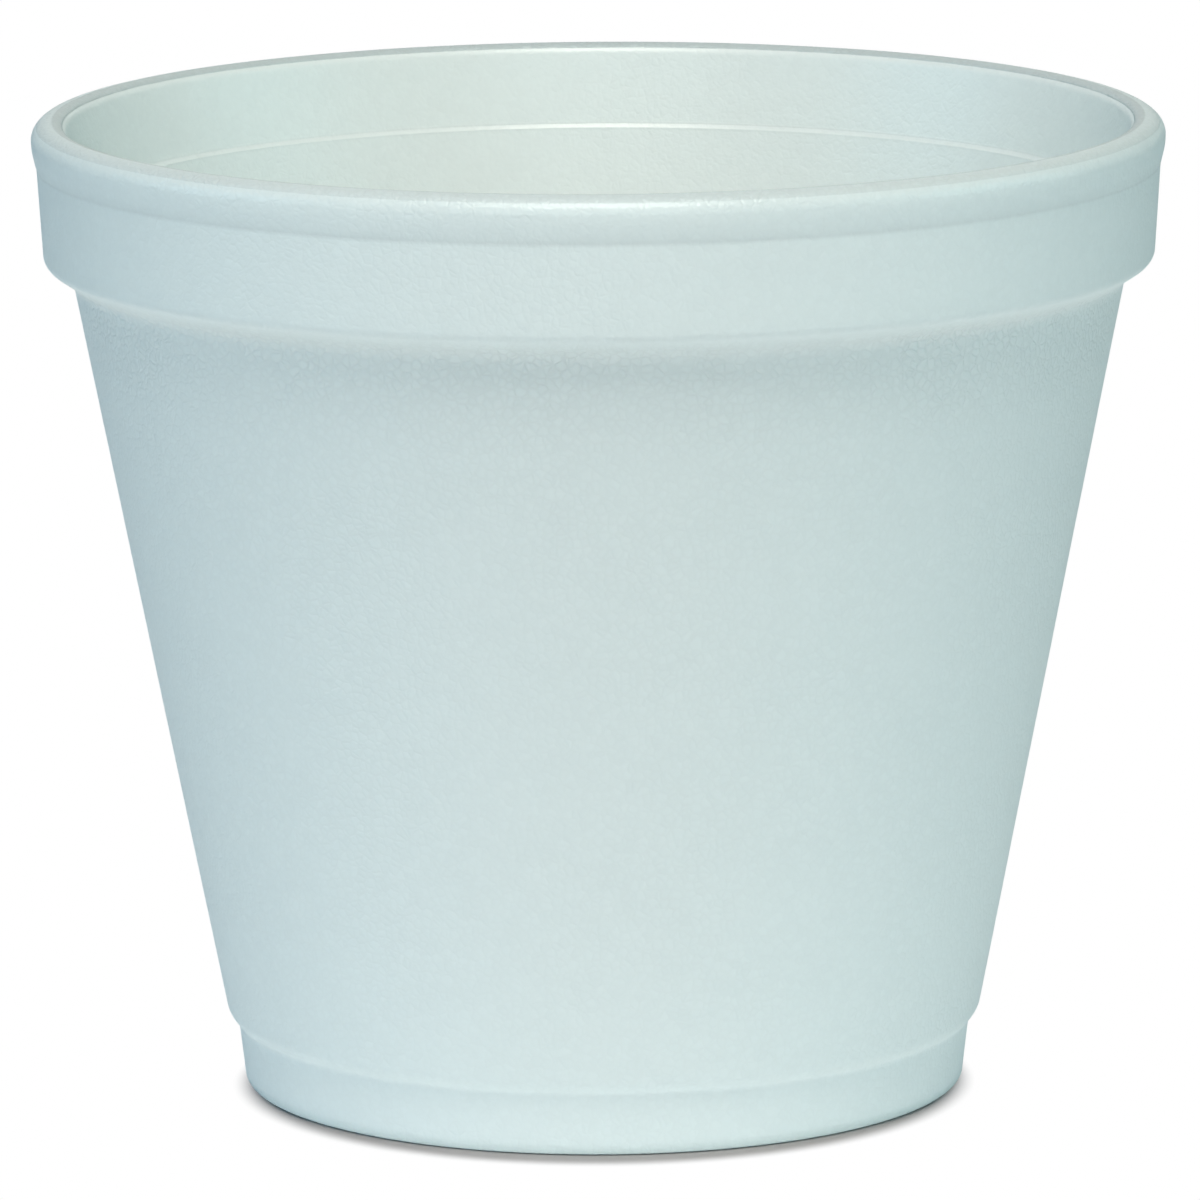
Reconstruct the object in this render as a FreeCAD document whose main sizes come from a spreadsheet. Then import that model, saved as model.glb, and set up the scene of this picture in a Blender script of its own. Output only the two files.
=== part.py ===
# Round foam food container, moulded in one piece from expanded foam beads.
#
# A squat tapered cup with an open top. Its lip is a rounded bead over a thicker
# collar, and a bevel under the collar leads in to the thin tapered body. The body
# stands on a narrower stacking foot whose underside is recessed. Inside, a small
# ledge runs round the wall behind the collar. The whole cup is one profile turned
# about the upright axis.
#
# Frame: millimetres, +Z up along the axis of the cup, origin at the middle of the
# ring on which the foot stands.

import FreeCAD, Part
import math
import os
import Sketcher

NODE = "container"
FULL_TURN = 360

doc = FreeCAD.newDocument("FoamContainer")

# ---------------------------------------------------------------------------
# Sizes
# ---------------------------------------------------------------------------

SIZES = [
    ("rim_diameter", 89.5, "across the lip, at the corner that its round takes off"),
    ("total_height", 77.0, "from the foot's underside to the top of the lip"),
    ("lip_width", 3.0, "top of the lip, from its outer to its inner corner"),
    ("bead_depth", 3.6, "rounded bead of the lip, down to the crease under it"),
    ("bead_inset", 0.5, "how far the crease lies inside the lip's outer corner"),
    ("collar_depth", 7.4, "plain collar, from the crease down to its lower corner"),
    ("collar_inset", 0.7, "how far the collar narrows on its way down"),
    ("bevel_depth", 1.5, "height of the bevel under the collar"),
    ("bevel_inset", 2.2, "how far the bevel leads in to the body"),
    ("base_diameter", 59.7, "tapered body, at its lower corner"),
    ("step_height", 0.75, "height of the step from the body in to the foot"),
    ("step_inset", 0.75, "how far that step leads in"),
    ("foot_height", 4.85, "stacking foot, up to the corner under the step"),
    ("foot_taper", 0.6, "how far the foot narrows on its way down"),
    ("foot_ring_width", 4.0, "ring that the cup stands on"),
    ("recess_depth", 1.6, "how far the underside stands clear inside that ring"),
    ("floor_thickness", 3.0, "bottom of the cup"),
    ("wall", 2.5, "body wall, measured square to its surface"),
    ("ledge_depth", 6.1, "from the top of the lip down to the ledge inside"),
    ("ledge_fall", 0.7, "how far the ledge slopes down"),
    ("ledge_width", 0.8, "how far the ledge stands in"),
    ("lip_outer_round", 1.7, "outer edge of the lip"),
    ("lip_inner_round", 1.0, "inner edge of the lip"),
    ("collar_round", 0.6, "lower edge of the collar"),
    ("body_round", 3.0, "lower edge of the body"),
    ("foot_round", 1.5, "lower edge of the foot"),
    ("crease_round", 0.4, "crease where the bevel meets the body"),
    ("floor_round", 5.0, "corner between the inner wall and the floor"),
    ("ledge_round", 0.5, "both corners of the ledge"),
]

sheet = doc.addObject("Spreadsheet::Sheet", "Sizes")
for row, (name, value, meaning) in enumerate(SIZES, start=1):
    sheet.set(f"A{row}", name)
    sheet.set(f"B{row}", str(value))
    sheet.set(f"C{row}", meaning)
    sheet.setAlias(f"B{row}", name)
doc.recompute()


def value_of(expression):
    """The value that an expression in the sheet's names has now."""
    return float(sheet.evalExpression(expression))


# ---------------------------------------------------------------------------
# Corners of the half profile
# ---------------------------------------------------------------------------

rim_radius = "Sizes.rim_diameter / 2"
crease_radius = rim_radius + " - Sizes.bead_inset"
collar_radius = crease_radius + " - Sizes.collar_inset"
body_top_radius = collar_radius + " - Sizes.bevel_inset"
body_base_radius = "Sizes.base_diameter / 2"
foot_top_radius = body_base_radius + " - Sizes.step_inset"
foot_radius = foot_top_radius + " - Sizes.foot_taper"
ring_radius = foot_radius + " - Sizes.foot_ring_width"

crease_height = "Sizes.total_height - Sizes.bead_depth"
collar_height = crease_height + " - Sizes.collar_depth"
body_top_height = collar_height + " - Sizes.bevel_depth"
body_base_height = "Sizes.foot_height + Sizes.step_height"
ledge_height = "Sizes.total_height - Sizes.ledge_depth"
floor_height = "Sizes.recess_depth + Sizes.floor_thickness"

# The largest round that a face has room for, as a share of the face's own size.
LIP_OUTER_SHARE = 0.57
LIP_INNER_SHARE = 0.36
BODY_SHARE = 4.2
LEDGE_SHARE = 0.65
lip_outer_round = f"min(Sizes.lip_outer_round; Sizes.lip_width * {LIP_OUTER_SHARE})"
lip_inner_round = f"min(Sizes.lip_inner_round; Sizes.lip_width * {LIP_INNER_SHARE})"
body_round = f"min(Sizes.body_round; Sizes.step_height * {BODY_SHARE})"
ledge_round = f"min(Sizes.ledge_round; Sizes.ledge_width * {LEDGE_SHARE})"

# Each corner with its distance from the axis, its height and its round: from the
# middle of the underside up the outside, over the lip and down the inside. The inner
# wall follows the body, so its corners have no distance from the axis of their own.
CORNERS = [
    ("recess_middle", "0", "Sizes.recess_depth", None),
    ("recess_edge", ring_radius, "Sizes.recess_depth", None),
    ("ring_edge", ring_radius, "0", None),
    ("foot_bottom", foot_radius, "0", "Sizes.foot_round"),
    ("foot_top", foot_top_radius, "Sizes.foot_height", None),
    ("body_base", body_base_radius, body_base_height, body_round),
    ("body_top", body_top_radius, body_top_height, "Sizes.crease_round"),
    ("collar_bottom", collar_radius, collar_height, "Sizes.collar_round"),
    ("crease", crease_radius, crease_height, None),
    ("lip_outer", rim_radius, "Sizes.total_height", lip_outer_round),
    ("lip_inner", rim_radius + " - Sizes.lip_width", "Sizes.total_height", lip_inner_round),
    ("ledge_top", None, ledge_height, ledge_round),
    ("ledge_bottom", None, ledge_height + " - Sizes.ledge_fall", ledge_round),
    ("floor_edge", None, floor_height, "Sizes.floor_round"),
    ("floor_middle", "0", floor_height, None),
]
NAMES = [name for name, radius, height, rounding in CORNERS]


def inner_wall_radius(height):
    """Distance from the axis to the inner wall, a wall's thickness inside the body."""
    rise = value_of(body_top_height) - value_of(body_base_height)
    slope = (value_of(body_top_radius) - value_of(body_base_radius)) / rise
    outer = value_of(body_base_radius) + slope * (height - value_of(body_base_height))
    return outer - value_of("Sizes.wall") * math.hypot(1, slope)


def corner_place(name, radius, height):
    """Where a corner lies in the sketch."""
    z = value_of(height)
    if radius is not None:
        return FreeCAD.Vector(value_of(radius), z, 0)
    inset = 0 if name != "ledge_top" else value_of("Sizes.ledge_width")
    return FreeCAD.Vector(inner_wall_radius(z) + inset, z, 0)


places = {name: corner_place(name, radius, height) for name, radius, height, rounding in CORNERS}

# ---------------------------------------------------------------------------
# Sketch of the half profile
# ---------------------------------------------------------------------------

container = doc.addObject("PartDesign::Body", "Container")
container.Label = NODE
container.Placement = FreeCAD.Placement()

upright_plane = next(
    plane for plane in container.Origin.OriginFeatures if plane.Role == "XZ_Plane"
)
profile = container.newObject("Sketcher::SketchObject", "Profile")
profile.AttachmentSupport = [(upright_plane, "")]
profile.MapMode = "FlatFace"

# Sketcher's numbers for the two axes and for the ends of a line or an arc.
HORIZONTAL_AXIS = -1
UPRIGHT_AXIS = -2
START = 1
END = 2
UP = FreeCAD.Vector(0, 0, 1)


def constrain(kind, *where):
    """Add one constraint and return its number."""
    return profile.addConstraint(Sketcher.Constraint(kind, *where))


def dimension(label, expression, kind, *where):
    """Add one named dimension that takes its value from the sheet."""
    number = constrain(kind, *where, value_of(expression))
    profile.renameConstraint(number, label)
    profile.setExpression("Constraints." + label, expression)


def hold(label, point, axis, kind, expression):
    """Hold a point at its distance from one axis of the sketch, or on that axis."""
    if expression == "0":
        constrain("PointOnObject", *point, axis)
    else:
        dimension(label, expression, kind, HORIZONTAL_AXIS, START, *point)


def tangent_arc(before, corner, after, radius):
    """The arc that rounds a corner, and whether the outline turns left there."""
    towards_before = (before - corner).normalize()
    towards_after = (after - corner).normalize()
    half_angle = towards_before.getAngle(towards_after) / 2
    bisector = (towards_before + towards_after).normalize()
    centre = corner + bisector * (radius / math.sin(half_angle))
    reach = radius / math.tan(half_angle)
    spokes = [corner + towards_before * reach - centre, corner + towards_after * reach - centre]
    turns_left = towards_after.cross(towards_before).z > 0
    if not turns_left:
        spokes.reverse()
    angles = [math.atan2(spoke.y, spoke.x) for spoke in spokes]
    return Part.ArcOfCircle(Part.Circle(centre, UP, radius), *angles), turns_left


def join_with_round(name, line, following_line, rounding):
    """Round the corner between two lines; its sharp corner stays as a drawn point."""
    at = NAMES.index(name)
    before = places[NAMES[at - 1]]
    after = places[NAMES[(at + 1) % len(NAMES)]]
    arc, turns_left = tangent_arc(before, places[name], after, value_of(rounding))
    number = profile.addGeometry(arc, False)
    first, last = (START, END) if turns_left else (END, START)
    constrain("Tangent", line, END, number, first)
    constrain("Tangent", number, last, following_line, START)
    dimension(name + "_round", rounding, "Radius", number)
    corner = profile.addGeometry(Part.Point(places[name]), True)
    constrain("PointOnObject", corner, START, line)
    constrain("PointOnObject", corner, START, following_line)
    return corner, START


line_from = {}
for name, following in zip(NAMES, NAMES[1:] + NAMES[:1]):
    line = Part.LineSegment(places[name], places[following])
    line_from[name] = profile.addGeometry(line, False)

corner_point = {}
for name, radius, height, rounding in CORNERS:
    line = line_from[NAMES[NAMES.index(name) - 1]]
    following_line = line_from[name]
    if rounding is None:
        constrain("Coincident", line, END, following_line, START)
        corner_point[name] = (following_line, START)
    else:
        corner_point[name] = join_with_round(name, line, following_line, rounding)

for name, radius, height, rounding in CORNERS:
    hold(name + "_height", corner_point[name], HORIZONTAL_AXIS, "DistanceY", height)
    if radius is not None:
        hold(name + "_radius", corner_point[name], UPRIGHT_AXIS, "DistanceX", radius)

body_line = line_from["body_base"]
constrain("Parallel", body_line, line_from["ledge_bottom"])
dimension("wall", "Sizes.wall", "Distance", *corner_point["floor_edge"], body_line)
ledge_ends = corner_point["ledge_bottom"] + corner_point["ledge_top"]
dimension("ledge_width", "Sizes.ledge_width", "DistanceX", *ledge_ends)
doc.recompute()

# ---------------------------------------------------------------------------
# Turned solid
# ---------------------------------------------------------------------------

turned = container.newObject("PartDesign::Revolution", "Turned")
turned.Profile = profile
turned.ReferenceAxis = (profile, ["V_Axis"])
turned.Angle = FULL_TURN
profile.Visibility = False
doc.recompute()

# ---------------------------------------------------------------------------
# Checks and file
# ---------------------------------------------------------------------------


def check(document):
    """Stop if a feature has failed or the solid isn't sound."""
    for item in document.Objects:
        if "Invalid" in item.State or "Error" in item.State:
            raise RuntimeError(item.Name + " failed: " + str(item.State))
    if not profile.FullyConstrained:
        raise RuntimeError("the profile isn't fully dimensioned")
    shape = container.Shape
    if shape.isNull() or not shape.isValid() or len(shape.Solids) != 1:
        raise RuntimeError(container.Label + " isn't one sound solid")


check(doc)
box = container.Shape.optimalBoundingBox()
print(f"{NODE}: {box.XLength:.2f} x {box.YLength:.2f} x {box.ZLength:.2f} mm")
print(f"volume {container.Shape.Volume:.0f} mm3")

os.makedirs("parts", exist_ok=True)
container.Shape.exportStep(os.path.join("parts", NODE + ".step"))
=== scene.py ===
# %% [markdown]
# # A foam food container
# The real thing is one moulding of white bead foam: a squat round tub with a thick rolled lip,
# a heavier collar under it, a wall that leans outwards, and a narrower foot that it stacks on.
# Nothing is glued or fitted to it, so it is one piece here too.
#
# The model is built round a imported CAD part, which fixes the size. Everything is in metres,
# with +Z up the middle of the container and the floor at zero.

# %% Load the CAD frame
import math

import bpy
from mathutils import Matrix, Vector


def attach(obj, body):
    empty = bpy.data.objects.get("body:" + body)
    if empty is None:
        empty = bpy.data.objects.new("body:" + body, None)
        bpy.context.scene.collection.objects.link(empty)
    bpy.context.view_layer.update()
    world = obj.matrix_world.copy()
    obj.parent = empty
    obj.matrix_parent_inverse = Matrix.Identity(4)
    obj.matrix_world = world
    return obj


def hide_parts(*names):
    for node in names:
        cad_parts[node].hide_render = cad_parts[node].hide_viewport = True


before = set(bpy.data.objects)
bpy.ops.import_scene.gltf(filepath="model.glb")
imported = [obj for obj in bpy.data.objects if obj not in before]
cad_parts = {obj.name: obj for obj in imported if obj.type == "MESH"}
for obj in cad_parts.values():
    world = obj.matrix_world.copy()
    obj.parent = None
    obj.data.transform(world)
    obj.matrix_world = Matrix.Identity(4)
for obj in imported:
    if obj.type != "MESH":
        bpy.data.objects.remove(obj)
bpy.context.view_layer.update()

MM = 0.001

# %% [markdown]
# ## Two small helpers
# Node trees get long when each node takes five lines. These helpers add a node, fill its inputs
# and join it to what comes before, in one call. The same helper works for geometry and for
# materials, because both kinds of tree are built from the same parts.

# %% Helpers for node trees
def add_node(tree, kind, inputs=None, **settings):
    """Adds a node, sets its options, and fills each input with a value or a link."""
    node = tree.nodes.new(kind)
    for name, value in settings.items():
        setattr(node, name, value)
    for key, value in (inputs or {}).items():
        if isinstance(value, bpy.types.NodeSocket):
            tree.links.new(value, node.inputs[key])
        else:
            node.inputs[key].default_value = value
    return node


def calculate(tree, operation, first, second=0.0, third=0.0):
    """One sum on numbers, as a Math node."""
    filled = {0: first, 1: second, 2: third}
    return add_node(tree, "ShaderNodeMath", filled, operation=operation).outputs[0]


# %% [markdown]
# ## The sizes of the container
# A moulder's drawing gives the container as one section, turned round the middle. The same
# sizes are named here, in millimetres. The lip, the collar and the foot are measured from the
# lip's widest line or from the floor, so one size can change and the rest follows.

# %% Name the sizes
SIZES = {
    "Rim radius": 44.44,
    "Total height": 77.0,
    "Lip width": 2.75,
    "Lip inner roll": 1.0,
    "Lip outer roll": 1.6,
    "Bead crown drop": 2.1,
    "Bead depth": 3.6,
    "Bead inset": 0.3,
    "Bead tuck": 0.1,
    "Bead tuck height": 0.25,
    "Collar depth": 7.4,
    "Collar inset": 0.54,
    "Bevel depth": 1.5,
    "Bevel inset": 2.26,
    "Base radius": 29.86,
    "Step height": 0.8,
    "Step inset": 0.78,
    "Foot height": 5.0,
    "Foot taper": 0.62,
    "Foot ring width": 4.0,
    "Recess depth": 1.6,
    "Floor thickness": 3.0,
    "Wall": 2.2,
    "Ledge depth": 6.45,
    "Ledge fall": 0.3,
    "Ledge width": 0.22,
}
print(len(SIZES), "sizes")

# %% [markdown]
# ## Start the lathe tree
# The container could be spun from a drawn curve, but then a change of size would mean drawing
# again. A Geometry Nodes tree keeps each size as a named input, works the corners out from
# them, and turns the section into a solid skin, so it is the better way for a turned shape.

# %% Make the tree and its named inputs
lathe = bpy.data.node_groups.new("Turned foam container", "GeometryNodeTree")
lathe.is_modifier = True
face = lathe.interface


def add_input(name, kind, value=None):
    socket = face.new_socket(name, in_out="INPUT", socket_type=kind)
    if value is not None:
        socket.default_value = value
    return socket


face.new_socket("Container", in_out="OUTPUT", socket_type="NodeSocketGeometry")
for name, size in SIZES.items():
    add_input(name, "NodeSocketFloat", size * MM).subtype = "DISTANCE"
add_input("Steps around", "NodeSocketInt", 360)
add_input("Steps in a corner", "NodeSocketInt", 8)
add_input("Longest step", "NodeSocketFloat", 2.0 * MM)
add_input("Unevenness", "NodeSocketFloat", 0.06 * MM)
add_input("Seed", "NodeSocketFloat", 4.0)
add_input("Foam", "NodeSocketMaterial")

given = add_node(lathe, "NodeGroupInput").outputs


def plus(first, second):
    return calculate(lathe, "ADD", first, second)


def minus(first, second):
    return calculate(lathe, "SUBTRACT", first, second)


def times(first, second):
    return calculate(lathe, "MULTIPLY", first, second)


# %% [markdown]
# ## Work out the corners
# Each corner of the section is a distance from the middle and a height. The list runs from the
# middle of the inside floor, up the inner wall, over the lip, down the outside and under the
# foot. Three more numbers go with each corner: how round it is, in millimetres; how plainly the
# fused beads show there, from 0 for a smooth skin to 1.2 for the coarsest, which also darkens the
# colour as painted shade, most at the top of the body under the collar; and how much painted
# shade greys the colour there, on the crown of the lip, at the ledge and under the bead, which
# also sets how deep the scuffs are.
#
# The wall's thickness is measured square to its face, so the place of the inner wall comes from
# the slope of the body.
# The lip is a quarter roll on each side. Each roll has two corners, so that its top can take
# painted shade and its side stay clean. A few corners are only there to end a change: they lie on
# a straight wall, and keep the beads or the painted shade beside them from spreading along it.

# %% Heights and radii that several corners share
rim, top = given["Rim radius"], given["Total height"]
crease_r = minus(rim, given["Bead inset"])
crease_z = minus(top, given["Bead depth"])
collar_r = minus(crease_r, given["Collar inset"])
collar_z = minus(crease_z, given["Collar depth"])
body_top_r = minus(collar_r, given["Bevel inset"])
body_top_z = minus(collar_z, given["Bevel depth"])
body_low_r = given["Base radius"]
body_low_z = plus(given["Foot height"], given["Step height"])
foot_top_r = minus(body_low_r, given["Step inset"])
foot_low_r = minus(foot_top_r, given["Foot taper"])
ring_r = minus(foot_low_r, given["Foot ring width"])

slope = calculate(
    lathe, "DIVIDE", minus(body_top_r, body_low_r), minus(body_top_z, body_low_z)
)
lean = calculate(lathe, "SQRT", plus(times(slope, slope), 1.0))
wall_across = times(given["Wall"], lean)


def inner_wall_r(height):
    """How far the inner wall stands from the middle at a height."""
    outside = plus(body_low_r, times(slope, minus(height, body_low_z)))
    return minus(outside, wall_across)


# %% List the corners in order
LEDGE_MARGIN = 0.2 * MM
COARSE_SHADED_BAND = 8.0 * MM
floor_z = plus(given["Recess depth"], given["Floor thickness"])
ledge_top_z = minus(top, given["Ledge depth"])
calm_z = minus(body_top_z, COARSE_SHADED_BAND)
calm_r = minus(body_top_r, times(slope, COARSE_SHADED_BAND))
ledge_low_z = minus(ledge_top_z, given["Ledge fall"])
ledge_low_r = inner_wall_r(ledge_low_z)
ledge_top_r = plus(ledge_low_r, given["Ledge width"])
under_z = minus(ledge_low_z, LEDGE_MARGIN)
under_r = inner_wall_r(under_z)
over_z = plus(ledge_top_z, LEDGE_MARGIN)
over_r = plus(ledge_top_r, times(slope, LEDGE_MARGIN))
lip_in_r = minus(rim, given["Lip width"])
crown_z = minus(top, given["Bead crown drop"])
bead_tuck = given["Bead tuck height"]
tucked_r = minus(crease_r, given["Bead tuck"])

# Where the two corners of a quarter roll stand, as a part of its radius.
ROLL_CORNER = 2.0 - math.sqrt(2.0)
inner_roll = times(given["Lip inner roll"], ROLL_CORNER)
outer_roll = times(given["Lip outer roll"], ROLL_CORNER)

# Each line holds a name, a distance out, a height, a round in mm, beads with painted shade,
# and painted shade with scuffs.
CORNERS = [
    ("middle of the inside floor", 0.0, floor_z, 0.0, 0.3, 0.0),
    ("edge of the inside floor", inner_wall_r(floor_z), floor_z, 5.0, 0.3, 0.0),
    ("wall under the ledge", under_r, under_z, 0.0, 0.25, 0.0),
    ("foot of the ledge", ledge_low_r, ledge_low_z, 0.2, 0.2, 0.1),
    ("top of the ledge", ledge_top_r, ledge_top_z, 0.2, 0.2, 0.2),
    ("wall over the ledge", over_r, over_z, 0.0, 0.25, 0.0),
    ("inner side of the lip", lip_in_r, minus(top, inner_roll), 1.0, 0.3, 0.0),
    ("inner half of the crown", plus(lip_in_r, inner_roll), top, 1.0, 0.9, 0.65),
    ("outer half of the crown", minus(rim, outer_roll), top, 1.6, 0.9, 0.22),
    ("outer side of the lip", rim, minus(top, outer_roll), 1.6, 0.6, 0.0),
    ("side of the bead", rim, crown_z, 6.0, 0.4, 0.0),
    ("foot of the bead", crease_r, plus(crease_z, bead_tuck), 0.15, 0.4, 0.1),
    ("top of the collar", tucked_r, crease_z, 0.1, 0.4, 0.2),
    ("clean collar", tucked_r, minus(crease_z, bead_tuck), 0.0, 0.4, 0.0),
    ("bottom of the collar", collar_r, collar_z, 1.0, 0.35, 0.0),
    # The coarsest foam, and the most painted shade, lie under the collar.
    ("top of the body", body_top_r, body_top_z, 1.6, 1.2, 0.0),
    ("calmer body", calm_r, calm_z, 0.0, 0.6, 0.0),
    ("bottom of the body", body_low_r, body_low_z, 2.0, 0.45, 0.0),
    ("top of the foot", foot_top_r, given["Foot height"], 0.9, 0.4, 0.0),
    ("bottom of the foot", foot_low_r, 0.0, 0.7, 0.4, 0.0),
    ("inside of the ring", ring_r, 0.0, 0.3, 0.4, 0.0),
    ("edge of the recess", ring_r, given["Recess depth"], 0.3, 0.5, 0.0),
    ("middle of the recess", 0.0, given["Recess depth"], 0.0, 0.5, 0.0),
]
print(len(CORNERS), "corners in the section")

# %% [markdown]
# ## Draw the section as a curve
# A plain line with one point for each corner is bent into the section. An Index Switch hands
# each point its own corner, and Fillet Curve rounds it. Straight runs are then divided, so that
# no step is longer than the tree's input says. The sweep later on reads a height as minus Y.

# %% Place the points, then round and divide
def one_for_each(kind, values):
    """A value for each corner, picked by the number of the point."""
    chooser = add_node(lathe, "GeometryNodeIndexSwitch", data_type=kind)
    while len(chooser.index_switch_items) < len(values):
        chooser.index_switch_items.new()
    number = add_node(lathe, "GeometryNodeInputIndex").outputs[0]
    lathe.links.new(number, chooser.inputs[0])
    for entry, value in enumerate(values, start=1):
        if isinstance(value, bpy.types.NodeSocket):
            lathe.links.new(value, chooser.inputs[entry])
        else:
            chooser.inputs[entry].default_value = value
    return chooser.outputs[0]


names, outs, heights, rounds, beads_and_shade, scuffs_and_shade = zip(*CORNERS)
places = []
for name, out, height in zip(names, outs, heights):
    point = add_node(lathe, "ShaderNodeCombineXYZ", {0: out, 1: minus(0.0, height)})
    point.label = name
    places.append(point.outputs[0])

line = add_node(lathe, "GeometryNodeCurvePrimitiveLine").outputs[0]
line = add_node(
    lathe, "GeometryNodeResampleCurve", {"Curve": line, "Count": len(CORNERS)}
).outputs[0]
line = add_node(
    lathe, "GeometryNodeSetPosition",
    {"Geometry": line, "Position": one_for_each("VECTOR", places)},
).outputs[0]

# The first corners, up to the inner side of the lip, are inside the cup, where the colour is
# painted lighter as painted light.
INNER_CORNERS = 7
CARRIED = {
    "bead_relief_and_shade": beads_and_shade,
    "scuffed_and_shaded": scuffs_and_shade,
    "inner_painted_light": [float(entry < INNER_CORNERS) for entry in range(len(CORNERS))],
}
for name, values in CARRIED.items():
    line = add_node(
        lathe, "GeometryNodeStoreNamedAttribute",
        {"Geometry": line, "Name": name, "Value": one_for_each("FLOAT", values)},
        data_type="FLOAT",
    ).outputs[0]
line = add_node(
    lathe, "GeometryNodeFilletCurve",
    {"Curve": line, "Count": given["Steps in a corner"], "Limit Radius": True,
     "Radius": one_for_each("FLOAT", [size * MM for size in rounds])},
    mode="POLY",
).outputs[0]

spot = add_node(lathe, "GeometryNodeInputPosition").outputs[0]
number = add_node(lathe, "GeometryNodeInputIndex").outputs[0]
next_number = calculate(lathe, "ADD", number, 1)
next_spot = add_node(
    lathe, "GeometryNodeFieldAtIndex", {"Value": spot, "Index": next_number},
    data_type="FLOAT_VECTOR",
).outputs[0]
run = add_node(
    lathe, "ShaderNodeVectorMath", {0: next_spot, 1: spot}, operation="DISTANCE"
).outputs["Value"]
cuts = calculate(
    lathe, "FLOOR", calculate(lathe, "DIVIDE", run, given["Longest step"])
)
line = add_node(
    lathe, "GeometryNodeSubdivideCurve", {"Curve": line, "Cuts": cuts}
).outputs[0]

# %% [markdown]
# ## Turn the section
# Curve to Mesh sweeps the section along a circle so small that it is almost a point, which is
# a lathe: the sweep closes on itself, so no seam has to be joined. Only the two ends on the
# axis need a merge. The tiny ring there becomes one point.
#
# Moulded foam is never quite true, so a slow noise then presses the skin in by a few hundredths
# of a millimetre. It only goes inwards, and it fades out at the floor, so the container keeps
# its size and stands flat.

# %% Sweep, merge and press in
AXIS_RING = 0.001 * MM
MERGE_WITHIN = 0.01 * MM
WAVES_PER_METRE = 70.0
FADE_HEIGHT = 3.0 * MM

ring = add_node(
    lathe, "GeometryNodeCurvePrimitiveCircle",
    {"Resolution": given["Steps around"], "Radius": AXIS_RING},
).outputs[0]
skin = add_node(
    lathe, "GeometryNodeCurveToMesh", {"Curve": ring, "Profile Curve": line}
).outputs[0]
skin = add_node(
    lathe, "GeometryNodeMergeByDistance", {"Geometry": skin, "Distance": MERGE_WITHIN}
).outputs[0]

spot = add_node(lathe, "GeometryNodeInputPosition").outputs[0]
waves = add_node(
    lathe, "ShaderNodeTexNoise",
    {"Vector": spot, "W": given["Seed"], "Scale": WAVES_PER_METRE, "Detail": 1.0},
    noise_dimensions="4D",
).outputs[0]
height = add_node(lathe, "ShaderNodeSeparateXYZ", {0: spot}).outputs["Z"]
off_the_floor = add_node(
    lathe, "ShaderNodeMapRange", {"Value": height, "From Max": FADE_HEIGHT}
).outputs[0]
press = times(times(waves, off_the_floor), times(given["Unevenness"], -1.0))
outwards = add_node(lathe, "GeometryNodeInputNormal").outputs[0]
push = add_node(
    lathe, "ShaderNodeVectorMath", {0: outwards, "Scale": press}, operation="SCALE"
).outputs[0]
skin = add_node(
    lathe, "GeometryNodeSetPosition", {"Geometry": skin, "Offset": push}
).outputs[0]
skin = add_node(
    lathe, "GeometryNodeSetMaterial", {"Geometry": skin, "Material": given["Foam"]}
).outputs[0]
skin = add_node(lathe, "GeometryNodeRealizeInstances", {"Geometry": skin}).outputs[0]
add_node(lathe, "NodeGroupOutput", {0: skin})

# %% [markdown]
# ## The foam
# Bead foam is thousands of small beads of plastic, steamed until they swell and fuse in the
# mould. Each bead is a low pillow under a millimetre across with a fine crease round it. Real
# pillows would need millions of faces, so they are made as a bump. A Voronoi texture divides
# space into cells as the beads do, and its distance to the nearest edge rises from each crease
# to the flat top of a pillow. Bending space a little first keeps the cells from having straight
# sides.
#
# The attributes carried along the section say where the beads show, where shade is painted into
# the colour, and where the inside is painted lighter as painted light.

# %% Bead pillows
foam = bpy.data.materials.new("bead_foam")
foam.use_nodes = True
shade = foam.node_tree
shade.nodes.clear()
BEADS_PER_METRE = 1450.0
BENDS_PER_METRE = 900.0
BEND = 0.5 * MM
CREASE_SHARE = 0.25


def place_on_object(tree, shift=(0.0, 0.0, 0.0)):
    """Where a point is on its own object, so that the finish stays put when it moves."""
    here = add_node(tree, "ShaderNodeTexCoord").outputs["Object"]
    inputs = {"Vector": here, "Location": shift}
    return add_node(tree, "ShaderNodeMapping", inputs).outputs[0]


here = place_on_object(shade)
wander = add_node(
    shade, "ShaderNodeTexNoise", {"Vector": here, "Scale": BENDS_PER_METRE, "Detail": 1.0}
).outputs["Color"]
wander = add_node(
    shade, "ShaderNodeVectorMath", {0: wander, "Scale": BEND}, operation="SCALE"
).outputs[0]
bent = add_node(
    shade, "ShaderNodeVectorMath", {0: here, 1: wander}, operation="ADD"
).outputs[0]
cells = {"Vector": bent, "Scale": BEADS_PER_METRE, "Randomness": 1.0}
to_crease = add_node(
    shade, "ShaderNodeTexVoronoi", cells, feature="DISTANCE_TO_EDGE"
).outputs["Distance"]
pillow = add_node(
    shade, "ShaderNodeMapRange", {"Value": to_crease, "From Max": CREASE_SHARE},
    interpolation_type="SMOOTHSTEP",
).outputs[0]
print("bead size, mm:", round(1000.0 / BEADS_PER_METRE, 2))

# %% [markdown]
# ## Where the beads show
# The steam doesn't reach every place alike, so some patches are smooth and others pebbly. A
# slow noise makes those patches, and it multiplies the relief that each corner carries. A fine
# grain goes on top, because the skin of each bead is a little frosted, and the crown of the lip
# gets small scuffs, since that is where containers knock together. The heights of grain and
# scuffs are told as parts of the height of a bead.

# %% Relief and grain
PATCHES_PER_METRE = 70.0
GRAINS_PER_METRE = 2600.0
SCUFFS_PER_METRE = 850.0
GRAIN_HEIGHT = 0.9
SCUFF_HEIGHT = 5.0
BEAD_HEIGHT = 0.03 * MM

# The bead number raises the bump and also paints shade into the colour.
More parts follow.
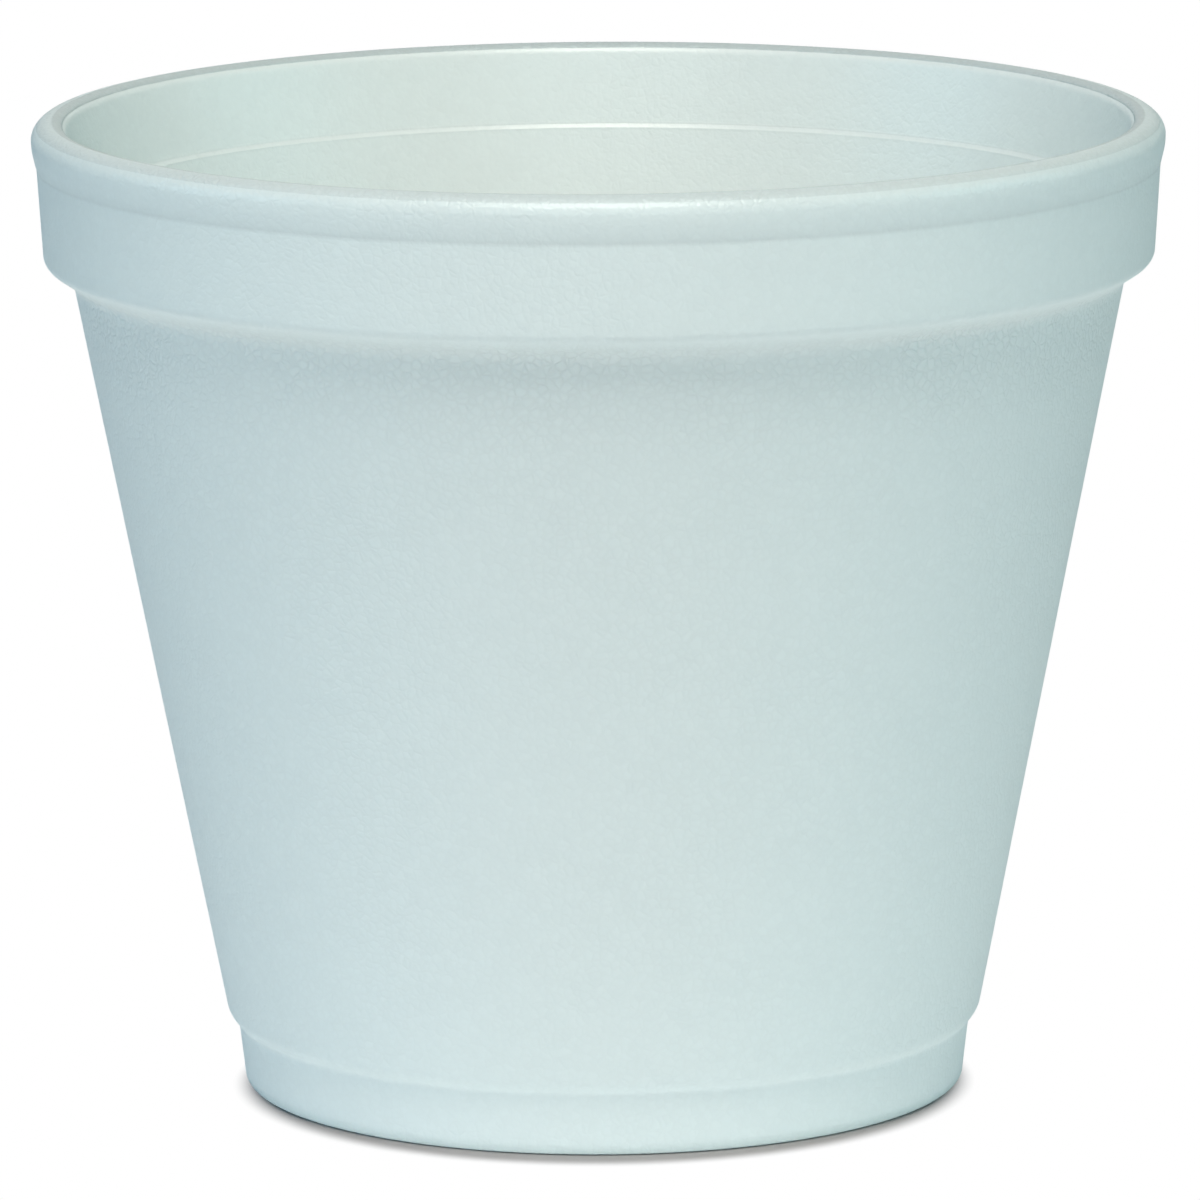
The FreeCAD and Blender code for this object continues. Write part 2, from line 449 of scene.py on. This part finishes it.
relief_and_shade = add_node(shade, "ShaderNodeAttribute", attribute_name="bead_relief_and_shade").outputs["Fac"]
# How much shade is painted on the crown, the ledge and under the bead; it also sets the scuffs.
scuffed_and_shaded = add_node(shade, "ShaderNodeAttribute", attribute_name="scuffed_and_shaded").outputs["Fac"]
patches = add_node(
    shade, "ShaderNodeTexNoise", {"Vector": here, "Scale": PATCHES_PER_METRE, "Detail": 2.0}
).outputs[0]
patches = add_node(
    shade, "ShaderNodeMapRange",
    {"Value": patches, "From Min": 0.35, "From Max": 0.65, "To Min": 0.7, "To Max": 1.2},
).outputs[0]
patchy = calculate(shade, "MULTIPLY", relief_and_shade, patches)
grain = add_node(
    shade, "ShaderNodeTexNoise", {"Vector": here, "Scale": GRAINS_PER_METRE, "Detail": 2.0}
).outputs[0]
scuffs = add_node(
    shade, "ShaderNodeTexNoise", {"Vector": here, "Scale": SCUFFS_PER_METRE, "Detail": 1.0}
).outputs[0]
raised = calculate(shade, "MULTIPLY", pillow, patchy)
raised = calculate(shade, "MULTIPLY_ADD", grain, GRAIN_HEIGHT, raised)
scuffs = calculate(shade, "MULTIPLY", scuffs, scuffed_and_shaded)
raised = calculate(shade, "MULTIPLY_ADD", scuffs, SCUFF_HEIGHT, raised)
bumps = add_node(
    shade, "ShaderNodeBump", {"Height": raised, "Strength": 1.0, "Distance": BEAD_HEIGHT}
).outputs[0]

# %% [markdown]
# ## The colour of the foam
# White foam is never one white. The skin inside the cup is painted a little lighter and warmer
# than outside, as painted light for the light that comes through the thin wall, and beads differ
# slightly from one another. Painted shade darkens the creases, the coarse foam, most of all under
# the collar, and the crown of the lip, the ledge and the line under the bead. Each darkening
# takes a part of the light away, so they are added up and the skin's colour is scaled once.

# %% Colour
OUTER_WHITE = (0.83, 0.92, 0.925, 1.0)
# The inside is painted lighter and warmer: painted light for the light that comes through the
# thin wall.
INNER_WHITE_PAINTED_LIGHT = (0.91, 0.965, 0.95, 1.0)
DARKEST_BEAD = 0.992
BEAD_SPREAD = 0.016
CREASE_PAINTED_SHADE = 0.026
COARSE_PAINTED_SHADE = 0.06
EDGE_PAINTED_SHADE = 0.32

# Where the inside is, so that its lighter colour, which is painted light, goes there.
inner = add_node(shade, "ShaderNodeAttribute", attribute_name="inner_painted_light").outputs["Fac"]
skin_colour = add_node(
    shade, "ShaderNodeMix",
    {0: inner, 6: OUTER_WHITE, 7: INNER_WHITE_PAINTED_LIGHT},
    data_type="RGBA",
).outputs[2]
# Painted shade in the creases between the beads.
crease_for_painted_shade = calculate(shade, "SUBTRACT", 1.0, pillow)
crease_for_painted_shade = calculate(shade, "MULTIPLY", crease_for_painted_shade, patchy)
bead_colour = add_node(shade, "ShaderNodeTexVoronoi", cells, feature="F1").outputs["Color"]
bead_tone = add_node(shade, "ShaderNodeSeparateColor", {0: bead_colour}).outputs[0]
kept_light = calculate(shade, "MULTIPLY_ADD", bead_tone, BEAD_SPREAD, DARKEST_BEAD)
# Painted shade: creases, coarse foam, and the crown, the ledge and the line under the bead.
for cause, shade_taken in ((crease_for_painted_shade, CREASE_PAINTED_SHADE), (relief_and_shade, COARSE_PAINTED_SHADE), (scuffed_and_shaded, EDGE_PAINTED_SHADE)):
    kept_light = calculate(shade, "MULTIPLY_ADD", cause, -shade_taken, kept_light)
colour = add_node(
    shade, "ShaderNodeVectorMath", {0: skin_colour, "Scale": kept_light}, operation="SCALE"
).outputs[0]

# %% [markdown]
# ## The sheen of the foam
# The skin has a soft sheen: a lamp shows as a smooth bright patch on a rounded edge and hardly
# at all on a flat wall. A plain dielectric turns mirror-like near its outline, which this foam
# doesn't, because its skin is rough at every scale. So the dielectric gloss is off and a little
# metallic weight gives the same weak sheen at every angle.

# %% Surface
ROUGHNESS = 0.3
SHEEN = 0.05

surface = add_node(
    shade, "ShaderNodeBsdfPrincipled",
    {"Base Color": colour, "Roughness": ROUGHNESS, "Normal": bumps,
     "Specular IOR Level": 0.0, "Metallic": SHEEN},
).outputs[0]
add_node(shade, "ShaderNodeOutputMaterial", {"Surface": surface})
print("foam nodes:", len(shade.nodes))

# %% [markdown]
# ## Make the mesh
# The tree only describes the container, so it has to be run once on an empty object. Its
# Foam input is set by the socket's identifier first. The result is kept as a plain mesh, which
# every other program can read, and the object that ran the tree is thrown away.

# %% Run the tree and keep the plain mesh
maker = bpy.data.objects.new("lathe", bpy.data.meshes.new("lathe"))
bpy.context.scene.collection.objects.link(maker)
turning = maker.modifiers.new("Turn", "NODES")
turning.node_group = lathe
for socket in face.items_tree:
    if socket.in_out == "INPUT" and socket.name == "Foam":
        turning[socket.identifier] = foam
made = maker.evaluated_get(bpy.context.evaluated_depsgraph_get())
mesh = bpy.data.meshes.new_from_object(made)
mesh.name = "foam_container"
container = bpy.data.objects.new("foam_container", mesh)
bpy.context.scene.collection.objects.link(container)
bpy.data.objects.remove(maker)
mesh.shade_smooth()
triangles = sum(len(polygon.vertices) - 2 for polygon in mesh.polygons)
print("triangles:", triangles, "materials:", [m.name for m in mesh.materials])

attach(container, "root")
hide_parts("container")

# %% [markdown]
# ## Camera
# The container is looked down on slightly, from nearly a metre away through a long lens. A long
# lens keeps the upright sides from spreading. The camera tips down and is rolled by a hair.

# %% Place the camera
CAMERA_PLACE = (-0.0001, -0.8178, 0.1919)
TIP_DOWN = 10.64
ROLL = -0.363

camera = bpy.data.objects.new("camera", bpy.data.cameras.new("camera"))
camera.data.lens = 315.9
camera.data.sensor_width = 36.0
camera.matrix_world = (
    Matrix.Translation(CAMERA_PLACE)
    @ Matrix.Rotation(math.radians(90.0 - TIP_DOWN), 4, "X")
    @ Matrix.Rotation(math.radians(ROLL), 4, "Z")
)
bpy.context.scene.collection.objects.link(camera)
bpy.context.scene.camera = camera
print("camera is", round(camera.location.length, 3), "m from the middle of the floor")

# %% [markdown]
# ## Lamps
# White foam shows its shape only through soft shading. One large lamp high in front shades the
# body under the collar and lights the floor, whose bounce lifts the lower wall. A weaker one in
# front fills the wall and puts the sheen on the lip. Three dim, cool ones at the sides and the
# back keep the outline and the far wall from going dark, and a faint one at floor level stands
# for the bright table.

# %% Hang the lamps
LOOK_AT = Vector((0.0, 0.0, 0.04))

# Each line holds a name, a place and a width in metres, a power in watts, and a tint.
LAMPS = [
    ("front", (0.0, -0.95, 0.38), 0.8, 2.3, (0.815, 0.96, 1.0)),
    ("key", (-0.01, -0.37, 0.83), 0.45, 5.15, (1.0, 0.945, 0.865)),
    ("left", (-0.9, -0.1, 0.35), 0.6, 1.6, (0.3, 0.72, 1.0)),
    ("right", (0.9, -0.1, 0.35), 0.6, 1.35, (0.42, 0.93, 1.0)),
    ("back", (0.0, 0.95, 0.42), 0.6, 1.6, (0.86, 0.97, 1.0)),
    ("table", (0.0, 0.0, 0.0005), 0.3, 0.055, (1.0, 0.93, 0.96)),
]
for name, place, size, power, tint in LAMPS:
    lamp = bpy.data.lights.new(name, "AREA")
    lamp.size = size
    lamp.energy = power
    lamp.color = tint
    holder = bpy.data.objects.new(name, lamp)
    holder.visible_camera = False
    holder.visible_glossy = name != "table"
    aim = LOOK_AT - Vector(place)
    turn = aim.to_track_quat("-Z", "Y").to_matrix().to_4x4()
    holder.matrix_world = Matrix.Translation(place) @ turn
    bpy.context.scene.collection.objects.link(holder)
    print(name, "lamp:", power, "W,", round(aim.length, 2), "m away")

# %% [markdown]
# ## World
# The room gives no light of its own here. The camera, and any gloss, sees it as plain white, so
# that a white backdrop needs no extra light on the foam.

# %% Make the world
WHITE = (1.0, 1.0, 1.0, 1.0)


def seen_rays(tree):
    """Rays from the camera, and all rays that see a backdrop: camera, gloss and clear stuff."""
    rays = add_node(tree, "ShaderNodeLightPath").outputs
    seen = calculate(tree, "MAXIMUM", rays["Is Camera Ray"], rays["Is Glossy Ray"])
    seen = calculate(tree, "MAXIMUM", seen, rays["Is Transmission Ray"])
    return rays["Is Camera Ray"], seen


world = bpy.data.worlds.new("studio")
world.use_nodes = True
bpy.context.scene.world = world
sky = world.node_tree
sky.nodes.clear()
from_camera, seen = seen_rays(sky)
room = add_node(sky, "ShaderNodeBackground", {"Color": WHITE, "Strength": 0.0}).outputs[0]
backdrop = add_node(sky, "ShaderNodeBackground", {"Color": WHITE, "Strength": 1.0}).outputs[0]
either = add_node(sky, "ShaderNodeMixShader", {0: seen, 1: room, 2: backdrop}).outputs[0]
add_node(sky, "ShaderNodeOutputWorld", {0: either})
print("world nodes:", len(sky.nodes))

# %% [markdown]
# ## Floor
# The floor is matte pale paper, and it bounces the lamps' light up onto the wall. Close round the
# foot the camera sees it in a darker tone, a painted shadow laid over the real one, so that the
# container's shadow shows as a thin dark line where it touches. Further out the camera sees it as
# white, the same as the backdrop, so no edge shows between them. The painted shadow is a little
# nearer the camera than the middle, so its zone is shifted that way.

# %% Lay the floor
HALF_FLOOR = 1.5
floor_mesh = bpy.data.meshes.new("floor")
floor_mesh.from_pydata(
    [(x * HALF_FLOOR, y * HALF_FLOOR, 0.0) for x, y in ((-1, -1), (1, -1), (1, 1), (-1, 1))],
    [], [(0, 1, 2, 3)],
)
floor = bpy.data.objects.new("floor", floor_mesh)
bpy.context.scene.collection.objects.link(floor)
print("floor, m:", 2.0 * HALF_FLOOR)

# %% Floor paper
paper = bpy.data.materials.new("pale_paper")
paper.use_nodes = True
sheet = paper.node_tree
sheet.nodes.clear()
SHADOW_SHIFT = 2.5 * MM
SHADOW_START = 27.0 * MM
SHADOW_END = 29.6 * MM
PAPER = (0.9, 0.9, 0.9, 1.0)
PAINTED_SHADOW_PAPER = (0.42, 0.39, 0.39, 1.0)

here = place_on_object(sheet, (0.0, SHADOW_SHIFT, 0.0))
away = add_node(sheet, "ShaderNodeVectorMath", {0: here}, operation="LENGTH").outputs["Value"]
beyond = add_node(
    sheet, "ShaderNodeMapRange",
    {"Value": away, "From Min": SHADOW_START, "From Max": SHADOW_END},
    interpolation_type="SMOOTHSTEP",
).outputs[0]
from_camera, seen = seen_rays(sheet)
seen = calculate(sheet, "MULTIPLY", seen, beyond)
# Painted shadow: near the foot the camera sees the paper in a dark tone.
tone = add_node(
    sheet, "ShaderNodeMix", {0: from_camera, 6: PAPER, 7: PAINTED_SHADOW_PAPER}, data_type="RGBA"
).outputs[2]
matte = add_node(sheet, "ShaderNodeBsdfDiffuse", {"Color": tone}).outputs[0]
bright = add_node(sheet, "ShaderNodeEmission", {"Color": WHITE, "Strength": 1.0}).outputs[0]
either = add_node(sheet, "ShaderNodeMixShader", {0: seen, 1: matte, 2: bright}).outputs[0]
add_node(sheet, "ShaderNodeOutputMaterial", {0: either})
floor_mesh.materials.append(paper)
print("shadow shows out to, mm:", round(SHADOW_END / MM, 1))

# %% [markdown]
# ## Settings
# The Standard view shows a colour as it is written.

# %% Picture settings
bpy.context.scene.view_settings.view_transform = "Standard"
bpy.context.view_layer.update()
